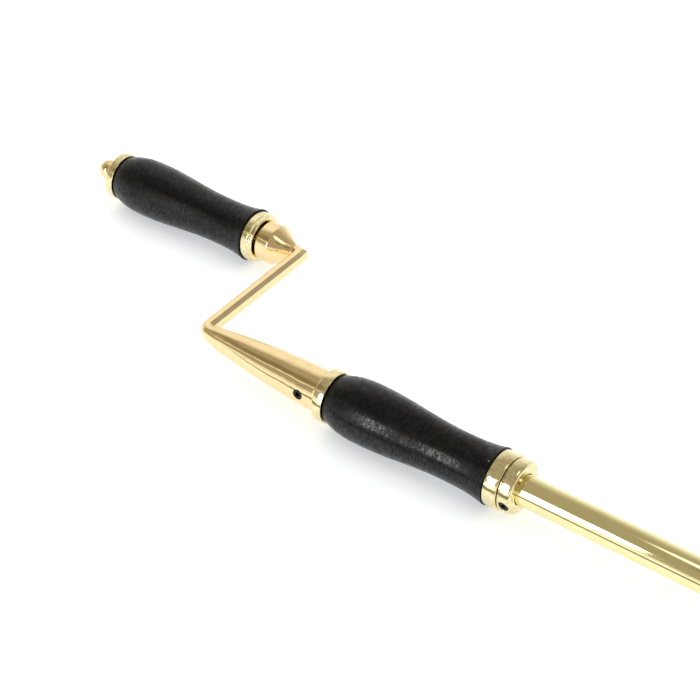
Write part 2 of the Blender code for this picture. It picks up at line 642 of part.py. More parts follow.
def hook_route():
    """Points of the hook's centre line in its own upright plane, as (station, height)."""
    points = [(SOCKET_END - HOOK_SHANK_SEAT, 0.0), (NUT_FACE, 0.0)]
    count = round(HOOK_NECK_TURN / HOOK_STEP)
    for index in range(count):
        turn = HOOK_NECK_TURN * index / count
        along = HOOK_NECK_START + HOOK_NECK_RADIUS * math.sin(turn)
        points.append((along, HOOK_NECK_RADIUS * (1 - math.cos(turn))))
    start = math.radians(90) + HOOK_NECK_TURN
    sweep = start + math.radians(90) + HOOK_PAST_BOTTOM
    count = round(sweep / HOOK_STEP)
    for index in range(count + 1):
        angle = start - sweep * index / count
        along = HOOK_CENTRE + HOOK_RADIUS * math.cos(angle)
        points.append((along, HOOK_RADIUS * math.sin(angle)))
    return points


def hook():
    """Round bar bent into an open eye, with a shank that passes the lock nut."""
    curve = bpy.data.curves.new("hook", "CURVE")
    curve.dimensions = "3D"
    curve.bevel_depth = HOOK_WIRE_RADIUS
    curve.bevel_resolution = HOOK_BEVEL_RESOLUTION
    curve.use_fill_caps = True
    route = hook_route()
    spline = curve.splines.new("POLY")
    spline.points.add(len(route) - 1)
    for point, (along, height) in zip(spline.points, route):
        point.co = (along - MIDDLE_X, POLE_Y, AXIS_Z + height, 1.0)
    for point, share in zip(spline.points[-2:], HOOK_TIP_SHARES):
        point.radius = share
    curve.materials.append(CAST_BRASS)
    piece = bpy.data.objects.new("hook", curve)
    parts.objects.link(piece)


def lock_nut():
    """Hexagon nut that locks the hook's shank against the socket."""
    corner = (SHANK_BORE + NUT_WALL) * HEXAGON_CORNER
    nut = prism("hook_lock_nut", corner, 0, NUT_THICKNESS, HEXAGON_SIDES, parts, CAST_BRASS)
    place(nut, NUT_FACE, POLE_Y)
    nut_end = NUT_FACE + NUT_THICKNESS
    bore = straight(NUT_FACE - CUT_OVERSHOOT, nut_end + CUT_OVERSHOOT, SHANK_BORE)
    cut(nut, turned("lock_nut_bore", bore, POLE_Y, None, False, cutters))


def shade(piece):
    """Put a piece's finished mesh in place of its modifiers, smooth but for sharp edges."""
    depsgraph = bpy.context.evaluated_depsgraph_get()
    mesh = bpy.data.meshes.new_from_object(piece.evaluated_get(depsgraph))
    piece.modifiers.clear()
    piece.data = mesh
    mesh.shade_smooth()
    mesh.set_sharp_from_angle(angle=SHARP_ANGLE)


upper_grip()
ball_nut()
spindle()
crank()
crank_set_screw()
pole_tube()
tube_plugs()
lower_grip()
stop_collar()
hook_socket()
lock_nut()
hook()
for part in parts.objects:
    if part.type == "MESH":
        shade(part)
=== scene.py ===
import json
import math

import bmesh
import bpy
from mathutils import Matrix, Vector, noise


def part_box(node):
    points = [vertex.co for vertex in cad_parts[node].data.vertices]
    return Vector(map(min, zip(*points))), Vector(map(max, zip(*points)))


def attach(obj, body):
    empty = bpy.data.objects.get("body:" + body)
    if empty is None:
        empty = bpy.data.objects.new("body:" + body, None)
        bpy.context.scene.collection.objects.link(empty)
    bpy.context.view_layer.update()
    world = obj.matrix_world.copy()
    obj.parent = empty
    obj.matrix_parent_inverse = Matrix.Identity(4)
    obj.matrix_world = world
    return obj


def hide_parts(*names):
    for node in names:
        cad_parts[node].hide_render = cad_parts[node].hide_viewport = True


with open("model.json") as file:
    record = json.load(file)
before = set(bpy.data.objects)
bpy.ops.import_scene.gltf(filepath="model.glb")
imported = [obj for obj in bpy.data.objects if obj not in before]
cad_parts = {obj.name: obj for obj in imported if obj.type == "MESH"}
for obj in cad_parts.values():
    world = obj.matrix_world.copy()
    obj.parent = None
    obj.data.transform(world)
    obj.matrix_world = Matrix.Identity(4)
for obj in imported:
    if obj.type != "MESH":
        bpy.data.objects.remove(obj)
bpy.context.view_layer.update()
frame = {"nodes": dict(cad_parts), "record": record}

# The looks of a cranked winding rod: polished brass, ebonised wood, black grub screws.
# Places and outer sizes come from the boxes of the solids; lengths are in metres.

mm = 0.001
fitGap = 0.3 * mm
runningGap = 0.35 * mm
roundSteps = 128
bodies = frame["record"]["behaviour"]["bodies"]
bodyOfNode = {node: body for body, nodes in bodies.items() for node in nodes}
print("frame loaded,", len(frame["nodes"]), "nodes")


# Helpers for building meshes

def axisOf(node):
    # the line a turned node lies on, with its two ends and its radius
    low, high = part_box(node)
    middle = (low + high) / 2
    return {"start": low.x, "end": high.x, "y": middle.y, "z": middle.z, "radius": (high.z - low.z) / 2}


def turnsOf(count):
    return [math.tau * step / count for step in range(count)]


def quarterTurns(count):
    return [math.radians(90) * step / count for step in range(count + 1)]


def middleOf(node):
    low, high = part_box(node)
    return (low.x + high.x) / 2


def sleeveCorners(axis, bore, ease):
    # a plain sleeve with all its edges eased
    return [(axis["start"], bore, ease), (axis["start"], axis["radius"], ease),
            (axis["end"], axis["radius"], ease), (axis["end"], bore, ease)]


def facetedReach(angle, faces, crispness):
    # how far a bar with flat sides is from its middle, with softened edges; faces are (facing, distance)
    total = 0.0
    for facing, distance in faces:
        lean = math.cos(angle - facing)
        if lean > 0:
            total += (lean / distance) ** crispness
    return total ** (-1 / crispness)


def hexagonReach(angle, flat, crispness):
    return facetedReach(angle, [(math.tau * side / 6, flat) for side in range(6)], crispness)


def softened(corners, arcSteps=5):
    # eases the corners of an outline: each is (along, radius) or (along, radius, ease)
    points = []
    for index, corner in enumerate(corners):
        here = Vector(corner[:2])
        if len(corner) < 3:
            points.append(here)
            continue
        toBefore = Vector(corners[index - 1][:2]) - here
        toAfter = Vector(corners[(index + 1) % len(corners)][:2]) - here
        reach = min(corner[2], toBefore.length * 0.48, toAfter.length * 0.48)
        start = here + toBefore.normalized() * reach
        end = here + toAfter.normalized() * reach
        for step in range(arcSteps + 1):
            share = step / arcSteps
            points.append(start.lerp(here, share).lerp(here.lerp(end, share), share))
    return points


def shadeFinely(mesh, sharpFrom=40):
    mesh.shade_smooth()
    mesh.set_sharp_from_angle(angle=math.radians(sharpFrom))


def skinned(name, rings, closed=False):
    # a mesh over rings of points; a ring of one point is a tip
    shape = bmesh.new()
    loops = [[shape.verts.new(point) for point in ring] for ring in rings]
    following = loops[1:] + loops[:1] if closed else loops[1:]
    for first, second in zip(loops, following):
        for step in range(max(len(first), len(second))):
            corners = [first[step % len(first)], first[(step + 1) % len(first)]]
            corners += [second[(step + 1) % len(second)], second[step % len(second)]]
            shape.faces.new(list(dict.fromkeys(corners)))
    if not closed:
        for loop in (loops[0], loops[-1]):
            if len(loop) > 2:
                shape.faces.new(loop)
    bmesh.ops.recalc_face_normals(shape, faces=shape.faces)
    mesh = bpy.data.meshes.new(name)
    shape.to_mesh(mesh)
    shape.free()
    shadeFinely(mesh)
    piece = bpy.data.objects.new(name, mesh)
    bpy.context.scene.collection.objects.link(piece)
    return piece


def ringRound(axis, along, reach, steps):
    # a ring of points round a line along X; its reach is a radius or a function of the turn
    ring = []
    for turn in turnsOf(steps):
        radius = reach(turn) if callable(reach) else reach
        ring.append((along, axis["y"] + radius * math.cos(turn), axis["z"] + radius * math.sin(turn)))
    return ring


def turned(name, outline, axis, closed=True, steps=roundSteps):
    # turns an outline of (along, radius) round a line along X
    rings = []
    for along, radius in outline:
        if radius < 0.001 * mm:
            rings.append([(along, axis["y"], axis["z"])])
        else:
            rings.append(ringRound(axis, along, radius, steps))
    return skinned(name, rings, closed)


def outwards(along, angle, axis):
    # the matrix that stands local X square to an axis, at an angle from +Y towards +Z
    radial = Vector((0, math.cos(angle), math.sin(angle)))
    lengthwise = Vector((1, 0, 0))
    across = radial.cross(lengthwise)
    turn = Matrix((radial, lengthwise, across)).transposed().to_4x4()
    return Matrix.Translation((along, axis["y"], axis["z"])) @ turn


screwHole = {"radius": 2.8 * mm, "overshoot": 1.5 * mm, "pointsRound": 48}
centreLine = {"y": 0, "z": 0}


def drilled(piece, along, angle, axis, bore, surface, sink):
    # drills a countersunk hole for a grub screw through one wall, from its bore out past its surface
    radius, past = screwHole["radius"], screwHole["overshoot"]
    start = bore - past
    mouth = surface + past
    outline = [(start, 0), (start, radius), (surface - sink, radius)]
    outline += [(mouth, radius + sink + past), (mouth, 0)]
    drill = turned("drill", outline, centreLine, closed=False, steps=screwHole["pointsRound"])
    drill.data.transform(outwards(along, angle, axis))
    cutting = piece.modifiers.new("drill", "BOOLEAN")
    cutting.operation = "DIFFERENCE"
    cutting.solver = "EXACT"
    cutting.object = drill
    depsgraph = bpy.context.evaluated_depsgraph_get()
    mesh = bpy.data.meshes.new_from_object(piece.evaluated_get(depsgraph))
    piece.modifiers.clear()
    piece.data = mesh
    shadeFinely(mesh, 35)
    bpy.data.objects.remove(drill)


def fitted(piece, node, material):
    # the piece stands for a CAD node: it joins the node's body, and the node is hidden
    piece.data.materials.clear()
    piece.data.materials.append(material)
    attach(piece, bodyOfNode[node])
    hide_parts(node)
    return piece


# Effects that the finishes share, as node groups

def newGroup(name, inputs, outputs):
    tree = bpy.data.node_groups.new(name, "ShaderNodeTree")
    for label, value in inputs.items():
        socket = tree.interface.new_socket(name=label, in_out="INPUT", socket_type="NodeSocketFloat")
        socket.default_value = value
    for label in outputs:
        tree.interface.new_socket(name=label, in_out="OUTPUT", socket_type="NodeSocketFloat")
    return tree, tree.nodes.new("NodeGroupInput"), tree.nodes.new("NodeGroupOutput")


def feed(tree, value, socket):
    # gives a socket a number or a colour, or links another socket to it
    if isinstance(value, bpy.types.NodeSocket):
        tree.links.new(value, socket)
    else:
        socket.default_value = (*value, 1) if isinstance(value, tuple) else value


def mathOf(tree, operation, first, second):
    node = tree.nodes.new("ShaderNodeMath")
    node.operation = operation
    feed(tree, first, node.inputs[0])
    feed(tree, second, node.inputs[1])
    return node.outputs[0]


def ranged(tree, value, low, high, toLow=0.0, toHigh=1.0):
    node = tree.nodes.new("ShaderNodeMapRange")
    node.interpolation_type = "SMOOTHSTEP"
    for label, number in (("From Min", low), ("From Max", high), ("To Min", toLow), ("To Max", toHigh)):
        feed(tree, number, node.inputs[label])
    tree.links.new(value, node.inputs["Value"])
    return node.outputs["Result"]


def scaledPlace(tree, alongSize, acrossSize):
    # object coordinates counted in grains that are long along X and thin across it
    place = tree.nodes.new("ShaderNodeTexCoord")
    split = tree.nodes.new("ShaderNodeSeparateXYZ")
    join = tree.nodes.new("ShaderNodeCombineXYZ")
    tree.links.new(place.outputs["Object"], split.inputs[0])
    for letter, size in (("X", alongSize), ("Y", acrossSize), ("Z", acrossSize)):
        tree.links.new(mathOf(tree, "DIVIDE", split.outputs[letter], size), join.inputs[letter])
    return join.outputs[0]


def cloudy(tree, place, detail, roughness=0.5):
    texture = tree.nodes.new("ShaderNodeTexNoise")
    texture.inputs["Scale"].default_value = 1.0
    texture.inputs["Detail"].default_value = detail
    texture.inputs["Roughness"].default_value = roughness
    tree.links.new(place, texture.inputs["Vector"])
    return texture.outputs["Fac"]


def makeToolMarks():
    # fine lines left by a lathe, a draw die or a brush, and where they are strongest
    tree, given, result = newGroup("toolMarks", {"Along": 1 * mm, "Across": 10 * mm}, ("Lines", "Strength"))
    lines = cloudy(tree, scaledPlace(tree, given.outputs["Along"], given.outputs["Across"]), 3, 0.6)
    broad = cloudy(tree, scaledPlace(tree, 9 * mm, 6 * mm), 2)
    tree.links.new(ranged(tree, lines, 0.32, 0.68), result.inputs["Lines"])
    tree.links.new(ranged(tree, broad, 0.42, 0.62), result.inputs["Strength"])
    return tree


def makeHandPolish():
    # the slow ripples and dull patches of metal polished by hand
    sizes = {"Ripple Size": 6 * mm, "Patch Size": 4 * mm}
    tree, given, result = newGroup("handPolish", sizes, ("Ripples", "Patches"))
    rippleSize, patchSize = given.outputs["Ripple Size"], given.outputs["Patch Size"]
    ripples = cloudy(tree, scaledPlace(tree, rippleSize, rippleSize), 2, 0.32)
    patches = cloudy(tree, scaledPlace(tree, patchSize, patchSize), 5, 0.62)
    tree.links.new(ripples, result.inputs["Ripples"])
    tree.links.new(ranged(tree, patches, 0.40, 0.66), result.inputs["Patches"])
    return tree


def makeEdgeWear():
    # finds the edges that hands and cloths rub and the hollows they miss, broken up by a fine noise
    tree, given, result = newGroup("edgeWear", {"From": 0.53, "To": 0.60}, ("Edges", "Hollows"))
    geometry = tree.nodes.new("ShaderNodeNewGeometry")
    unevenness = 0.04
    broken = mathOf(tree, "MULTIPLY", cloudy(tree, scaledPlace(tree, 0.8 * mm, 0.8 * mm), 4), unevenness)
    point = mathOf(tree, "ADD", geometry.outputs["Pointiness"], broken)
    point = mathOf(tree, "SUBTRACT", point, unevenness / 2)
    tree.links.new(ranged(tree, point, given.outputs["From"], given.outputs["To"]), result.inputs["Edges"])
    tree.links.new(ranged(tree, point, 0.49, 0.42), result.inputs["Hollows"])
    return tree


def makeDust():
    # scattered pale specks of lint and polish
    tree, given, result = newGroup("dustSpecks", {"Spacing": 6 * mm, "Size": 0.06}, ("Specks",))
    spacing = given.outputs["Spacing"]
    texture = tree.nodes.new("ShaderNodeTexVoronoi")
    texture.inputs["Scale"].default_value = 1.0
    tree.links.new(scaledPlace(tree, spacing, spacing), texture.inputs["Vector"])
    spot = ranged(tree, texture.outputs["Distance"], given.outputs["Size"], 0.0)
    colour = tree.nodes.new("ShaderNodeSeparateColor")
    tree.links.new(texture.outputs["Color"], colour.inputs[0])
    chosen = ranged(tree, colour.outputs[0], 0.80, 0.84)
    tree.links.new(mathOf(tree, "MULTIPLY", spot, chosen), result.inputs["Specks"])
    return tree


toolMarks = makeToolMarks()
handPolish = makeHandPolish()
edgeWear = makeEdgeWear()
dustSpecks = makeDust()


def newFinish(name, settings):
    material = bpy.data.materials.new(name)
    material.use_nodes = True
    shader = material.node_tree.nodes["Principled BSDF"]
    for label, value in settings.items():
        shader.inputs[label].default_value = value
    return material, material.node_tree, shader


def placeGroup(tree, group, **values):
    node = tree.nodes.new("ShaderNodeGroup")
    node.node_tree = group
    for label, value in values.items():
        node.inputs[label.replace("_", " ")].default_value = value
    return node.outputs


def mixed(tree, amount, first, second):
    # mixes two colours, each a socket or (red, green, blue)
    node = tree.nodes.new("ShaderNodeMix")
    node.data_type = "RGBA"
    tree.links.new(amount, node.inputs["Factor"])
    feed(tree, first, node.inputs[6])
    feed(tree, second, node.inputs[7])
    return node.outputs[2]


def bumped(tree, shader, layers):
    # stacks bumps: each layer is (height socket, depth in metres)
    normal = None
    for height, depth in layers:
        bump = tree.nodes.new("ShaderNodeBump")
        bump.inputs["Strength"].default_value = 1.0
        bump.inputs["Distance"].default_value = depth
        tree.links.new(height, bump.inputs["Height"])
        if normal:
            tree.links.new(normal, bump.inputs["Normal"])
        normal = bump.outputs[0]
    tree.links.new(normal, shader.inputs["Normal"])


def brassFinish(name, settings):
    material, tree, shader = newFinish(name, {"Metallic": 1.0})
    rippleSize, patchSize = settings["rippleSize"], settings["patchSize"]
    polish = placeGroup(tree, handPolish, Ripple_Size=rippleSize, Patch_Size=patchSize)
    marks = placeGroup(tree, toolMarks, Along=settings["markAlong"], Across=settings["markAcross"])
    wear = placeGroup(tree, edgeWear, From=0.53, To=0.60)
    dull = mathOf(tree, "MULTIPLY", polish["Patches"], settings["dullness"])
    colour = mixed(tree, dull, settings["bright"], settings["dull"])
    colour = mixed(tree, mathOf(tree, "MULTIPLY", wear["Hollows"], 0.55), colour, settings["tarnish"])
    colour = mixed(tree, mathOf(tree, "MULTIPLY", wear["Edges"], 0.5), colour, settings["rubbed"])
    tree.links.new(colour, shader.inputs["Base Color"])
    streaks = mathOf(tree, "MULTIPLY", marks["Lines"], settings["markRoughness"])
    rough = mathOf(tree, "MULTIPLY", polish["Patches"], settings["patchRoughness"])
    rough = mathOf(tree, "ADD", mathOf(tree, "ADD", rough, streaks), settings["roughness"])
    tree.links.new(rough, shader.inputs["Roughness"])
    lines = mathOf(tree, "MULTIPLY", marks["Lines"], marks["Strength"])
    bumped(tree, shader, [(polish["Ripples"], settings["rippleDepth"]), (lines, settings["markDepth"])])
    return material


castBrass = brassFinish("castBrass", {
    "bright": (0.93, 0.74, 0.42), "dull": (0.84, 0.64, 0.34),
    "tarnish": (0.30, 0.20, 0.09), "rubbed": (0.96, 0.80, 0.52),
    "dullness": 0.55, "roughness": 0.035, "patchRoughness": 0.06, "markRoughness": 0.02,
    "rippleSize": 7 * mm, "rippleDepth": 0.20 * mm, "patchSize": 6 * mm,
    "markAlong": 2.5 * mm, "markAcross": 0.35 * mm, "markDepth": 0.002 * mm})
turnedBrass = brassFinish("turnedBrass", {
    "bright": (0.90, 0.80, 0.49), "dull": (0.72, 0.61, 0.34),
    "tarnish": (0.20, 0.14, 0.07), "rubbed": (0.95, 0.86, 0.58),
    "dullness": 0.75, "roughness": 0.04, "patchRoughness": 0.09, "markRoughness": 0.02,
    "rippleSize": 2.8 * mm, "rippleDepth": 0.11 * mm, "patchSize": 2.2 * mm,
    "markAlong": 0.16 * mm, "markAcross": 9 * mm, "markDepth": 0.002 * mm})
tubeBrass = brassFinish("tubeBrass", {
    "bright": (0.91, 0.82, 0.46), "dull": (0.82, 0.72, 0.38),
    "tarnish": (0.30, 0.22, 0.10), "rubbed": (0.94, 0.86, 0.55),
    "dullness": 0.4, "roughness": 0.03, "patchRoughness": 0.03, "markRoughness": 0.02,
    "rippleSize": 26 * mm, "rippleDepth": 0.06 * mm, "patchSize": 12 * mm,
    "markAlong": 90 * mm, "markAcross": 0.30 * mm, "markDepth": 0.0015 * mm})
bushBronze = brassFinish("bushBronze", {
    "bright": (0.62, 0.40, 0.22), "dull": (0.42, 0.26, 0.14),
    "tarnish": (0.10, 0.06, 0.04), "rubbed": (0.75, 0.52, 0.30),
    "dullness": 0.8, "roughness": 0.34, "patchRoughness": 0.15, "markRoughness": 0.08,
    "rippleSize": 5 * mm, "rippleDepth": 0.02 * mm, "patchSize": 2 * mm,
    "markAlong": 0.2 * mm, "markAcross": 8 * mm, "markDepth": 0.01 * mm})
turnedSteel = brassFinish("turnedSteel", {
    "bright": (0.52, 0.51, 0.50), "dull": (0.36, 0.35, 0.34),
    "tarnish": (0.12, 0.10, 0.09), "rubbed": (0.66, 0.65, 0.64),
    "dullness": 0.6, "roughness": 0.26, "patchRoughness": 0.12, "markRoughness": 0.10,
    "rippleSize": 6 * mm, "rippleDepth": 0.01 * mm, "patchSize": 3 * mm,
    "markAlong": 0.18 * mm, "markAcross": 9 * mm, "markDepth": 0.01 * mm})


def blackScrewFinish():
    # black oxide, rubbed back to steel on its edges
    material, tree, shader = newFinish("blackScrew", {"Metallic": 0.85})
    polish = placeGroup(tree, handPolish, Ripple_Size=1.5 * mm, Patch_Size=0.9 * mm)
    wear = placeGroup(tree, edgeWear, From=0.55, To=0.66)
    marks = placeGroup(tree, toolMarks, Along=0.12 * mm, Across=0.12 * mm)
    colour = mixed(tree, polish["Patches"], (0.022, 0.021, 0.020), (0.060, 0.050, 0.042))
    colour = mixed(tree, mathOf(tree, "MULTIPLY", wear["Edges"], 0.7), colour, (0.38, 0.35, 0.32))
    tree.links.new(colour, shader.inputs["Base Color"])
    tree.links.new(ranged(tree, polish["Patches"], 0, 1, 0.30, 0.52), shader.inputs["Roughness"])
    bumped(tree, shader, [(marks["Lines"], 0.006 * mm)])
    return material


ebonyColours = {
    "stain": (0.0008, 0.0010, 0.0016), "grain": (0.0024, 0.0025, 0.0031),
    "handled": (0.0060, 0.0060, 0.0068), "worn": (0.050, 0.038, 0.030),
    "lint": (0.16, 0.16, 0.17), "speck": (0.42, 0.42, 0.43),
}


def ebonisedWoodFinish():
    # black-stained close-grained wood with a satin wax polish
    material, tree, shader = newFinish("ebonisedWood", {"IOR": 1.26, "Coat Roughness": 0.13})
    grain = cloudy(tree, scaledPlace(tree, 16 * mm, 0.55 * mm), 4, 0.55)
    pores = cloudy(tree, scaledPlace(tree, 2.2 * mm, 0.20 * mm), 2, 0.5)
    cut = placeGroup(tree, toolMarks, Along=0.34 * mm, Across=26 * mm)
    ridges = placeGroup(tree, toolMarks, Along=1.1 * mm, Across=40 * mm)
    wax = placeGroup(tree, toolMarks, Along=0.9 * mm, Across=3.5 * mm)
    handling = placeGroup(tree, handPolish, Ripple_Size=11 * mm, Patch_Size=6 * mm)
    specks = placeGroup(tree, dustSpecks, Spacing=8 * mm, Size=0.065)
    lint = placeGroup(tree, dustSpecks, Spacing=2.6 * mm, Size=0.11)
    wear = placeGroup(tree, edgeWear, From=0.54, To=0.62)
    colours = ebonyColours
    colour = mixed(tree, ranged(tree, grain, 0.35, 0.65), colours["stain"], colours["grain"])
    colour = mixed(tree, mathOf(tree, "MULTIPLY", handling["Patches"], 0.40), colour, colours["handled"])
    colour = mixed(tree, mathOf(tree, "MULTIPLY", wear["Edges"], 0.30), colour, colours["worn"])
    colour = mixed(tree, mathOf(tree, "MULTIPLY", lint["Specks"], 0.16), colour, colours["lint"])
    colour = mixed(tree, specks["Specks"], colour, colours["speck"])
    tree.links.new(colour, shader.inputs["Base Color"])
    rough = mathOf(tree, "MULTIPLY", handling["Patches"], 0.12)
    rough = mathOf(tree, "ADD", ranged(tree, pores, 0.40, 0.62, 0.21, 0.33), rough)
    tree.links.new(rough, shader.inputs["Roughness"])
    waxed = ranged(tree, wax["Lines"], 0.25, 0.85, 0.08, 0.62)
    unbroken = ranged(tree, pores, 0.60, 0.45)
    tree.links.new(mathOf(tree, "MULTIPLY", waxed, unbroken), shader.inputs["Coat Weight"])
    bumped(tree, shader, [
        (ranged(tree, pores, 0.62, 0.42), 0.012 * mm), (cut["Lines"], 0.006 * mm),
        (ridges["Lines"], 0.014 * mm), (handling["Ripples"], 0.05 * mm)])
    return material


blackScrew = blackScrewFinish()
ebonisedWood = ebonisedWoodFinish()
print("finishes made")


# The two wooden grips and what turns with them
woodShape = {
    "startDrop": 3.6 * mm, "waistDrop": 3.1 * mm, "flareDrop": 1.0 * mm,   # below the belly's radius
    "bellyAt": 21 * mm, "flareLength": 24.5 * mm,
    "shoulderFullness": 2.6, "flareFullness": 2.85,
    "ringStep": 0.8 * mm, "shoulderEase": 0.45 * mm,
    "unevenness": 0.05 * mm, "unevennessSize": 14 * mm, "pointsRound": 160,
}
ferruleShape = {
    "outerEase": 0.75 * mm, "woodEase": 0.30 * mm, "crown": 0.12 * mm, "crownEase": 1.6 * mm,
    "web": 1.2 * mm, "spigotBore": 11.3 * mm,
    "beadTop": 2.0 * mm, "beadEase": 1.2 * mm,   # the stepped ferrule's raised bead
    "stepLength": 2.2 * mm, "stepDepth": 1.0 * mm, "stepSlope": 0.33 * mm, "stepEase": 0.40 * mm,
    "lipTop": 0.9 * mm, "lipEase": 0.5 * mm,
}
bushShape = {"wall": 1.4 * mm, "rim": 1.3 * mm, "flange": 1.0 * mm, "ease": 0.15 * mm}


def woodRadius(along, length, belly):
    shape = woodShape
    waistAt = length - shape["flareLength"]
    if along < shape["bellyAt"]:
        rise = 1 - (1 - along / shape["bellyAt"]) ** shape["shoulderFullness"]
        return belly - shape["startDrop"] * (1 - rise)
    if along < waistAt:
        turn = math.pi * (along - shape["bellyAt"]) / (waistAt - shape["bellyAt"])
        return belly - shape["waistDrop"] * (1 - math.cos(turn)) / 2
    flare = ((along - waistAt) / shape["flareLength"]) ** shape["flareFullness"]
    return belly - shape["waistDrop"] + (shape["waistDrop"] - shape["flareDrop"]) * flare


def woodenGrip(name, node, fatFerrule, flaredFerrule, shaftNode):
    axis = axisOf(node)
    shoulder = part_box(fatFerrule)[1].x + fitGap
    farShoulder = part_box(flaredFerrule)[0].x - fitGap
    length = farShoulder - shoulder
    spigot = ferruleShape["spigotBore"] - fitGap
    bore = axisOf(shaftNode)["radius"] + runningGap + bushShape["wall"] + fitGap
    steps = round(length / woodShape["ringStep"])
    profile = [(shoulder + length * step / steps, woodRadius(length * step / steps, length, axis["radius"]))
               for step in range(1, steps)]
    startRadius = woodRadius(0, length, axis["radius"])
    flareRadius = woodRadius(length, length, axis["radius"])
    ease = woodShape["shoulderEase"]
    corners = [(axis["start"], bore, ease), (axis["start"], spigot, ease), (shoulder, spigot)]
    corners += [(shoulder, startRadius, ease)] + profile + [(farShoulder, flareRadius, ease)]
    corners += [(farShoulder, spigot), (axis["end"], spigot, ease), (axis["end"], bore, ease)]
    piece = turned(name, softened(corners), axis, steps=woodShape["pointsRound"])
    for vertex in piece.data.vertices:
        centre = Vector((vertex.co.x, axis["y"], axis["z"]))
        if (vertex.co - centre).length > spigot + fitGap:
            dip = (noise.noise(vertex.co / woodShape["unevennessSize"]) + 1) / 2
            vertex.co -= (vertex.co - centre).normalized() * dip * woodShape["unevenness"]
    return fitted(piece, node, ebonisedWood)


def ferrule(name, node, side, shaftNode, step=0.0):
    # side is 1 where the wood lies towards -X, and -1 where it lies towards +X
    axis = axisOf(node)
    shape = ferruleShape
    woodFace, outerFace = (axis["start"], axis["end"]) if side > 0 else (axis["end"], axis["start"])
    shaft = axisOf(shaftNode)["radius"]
    sleeve = shaft + runningGap + bushShape["wall"] + fitGap
    recess = sleeve + bushShape["rim"]
    recessFloor = outerFace - side * (bushShape["flange"] + fitGap)
    spigotFloor = recessFloor - side * shape["web"]
    radius = axis["radius"]
    corners = [(woodFace, shape["spigotBore"], 0.1 * mm)]
    corners += [(woodFace, radius - shape["crown"], shape["woodEase"])]
    if step:
        stepAt = outerFace - side * shape["stepLength"]
        corners += [(woodFace + side * shape["beadTop"], radius, shape["beadEase"])]
        corners += [(stepAt - side * shape["stepSlope"], radius - shape["crown"], shape["stepEase"])]
        corners += [(stepAt, radius - step, shape["stepEase"] * 0.6)]
        radius -= step
        corners += [(stepAt + side * shape["lipTop"], radius, shape["lipEase"])]
    else:
        corners += [((woodFace + outerFace) / 2, radius, shape["crownEase"])]
    corners += [(outerFace, radius - shape["crown"], shape["outerEase"])]
    corners += [(outerFace, recess, bushShape["ease"]), (recessFloor, recess), (recessFloor, sleeve)]
    corners += [(spigotFloor, sleeve), (spigotFloor, shape["spigotBore"])]
    return fitted(turned(name, softened(corners), axis), node, turnedBrass)


def flangedBush(name, node, side, shaftNode):
    axis = axisOf(node)
    outerFace, innerEnd = (axis["end"], axis["start"]) if side > 0 else (axis["start"], axis["end"])
    bore = axisOf(shaftNode)["radius"] + runningGap
    sleeve = bore + bushShape["wall"]
    flangeBack = outerFace - side * bushShape["flange"]
    ease = bushShape["ease"]
    corners = [(outerFace, bore, ease), (outerFace, axis["radius"], ease)]
    corners += [(flangeBack, axis["radius"], ease), (flangeBack, sleeve)]
    corners += [(innerEnd, sleeve, ease), (innerEnd, bore, ease)]
    return fitted(turned(name, softened(corners), axis), node, bushBronze)


def thrustWasher(name, node, shaftNode):
    axis = axisOf(node)
    bore = axisOf(shaftNode)["radius"] + runningGap
    corners = sleeveCorners(axis, bore, 0.12 * mm)
    return fitted(turned(name, softened(corners, 3), axis), node, turnedBrass)


def gripWithFittings(prefix, fatEnd, flaredEnd, shaftNode, step):
    fatNode = f"{prefix}_{fatEnd}"
    flaredNode = f"{prefix}_{flaredEnd}"
    ferruleNodes = (fatNode + "_ferrule", flaredNode + "_ferrule")
    woodenGrip(prefix + "GripWood", prefix + "_grip", *ferruleNodes, shaftNode)
    ferrule(prefix + fatEnd.capitalize() + "Ferrule", fatNode + "_ferrule", -1, shaftNode)
    ferrule(prefix + flaredEnd.capitalize() + "Ferrule", flaredNode + "_ferrule", 1, shaftNode, step)
    for end, node, side in ((fatEnd, fatNode, -1), (flaredEnd, flaredNode, 1)):
        flangedBush(prefix + end.capitalize() + "Bush", node + "_bush", side, shaftNode)
        thrustWasher(prefix + end.capitalize() + "Washer", node + "_washer", shaftNode)


gripWithFittings("upper", "end", "inner", "grip_spindle", ferruleShape["stepDepth"])
gripWithFittings("lower", "crank", "hook", "pole_tube", 0.0)
print("grips made")


# The ball nut and the spindle it screws on to
ballShape = {
    "radius": 6.0 * mm, "steps": 40,
    "neckRadius": 3.9 * mm, "neckPull": 0.55 * mm, "neckRim": 1.1 * mm,   # the neck pulls in below its rim
    "stud": 2.5 * mm, "studLength": 7.0 * mm,
}


def ballNut():
    axis = axisOf("ball_nut")
    shape = ballShape
    centre = axis["start"] + shape["radius"]
    bore = shape["stud"] + fitGap
    floor = axis["end"] - shape["studLength"] - fitGap
    corners = [(floor, 0), (floor, bore), (axis["end"], bore, 0.2 * mm)]
    corners += [(axis["end"], shape["neckRadius"], 0.35 * mm)]
    corners += [(axis["end"] - shape["neckRim"], shape["neckRadius"], 0.35 * mm)]
    neck = shape["neckRadius"] - shape["neckPull"]
    start = math.asin(neck / shape["radius"])
    corners += [(centre + shape["radius"] * math.cos(start) + 0.3 * mm, neck, 0.4 * mm)]
    for step in range(1, shape["steps"] + 1):
        angle = start + (math.pi - start) * step / shape["steps"]
        radius = shape["radius"] * math.sin(angle) if step < shape["steps"] else 0
        corners.append((centre + shape["radius"] * math.cos(angle), radius))
    return fitted(turned("ballNut", softened(corners), axis, closed=False), "ball_nut", castBrass)


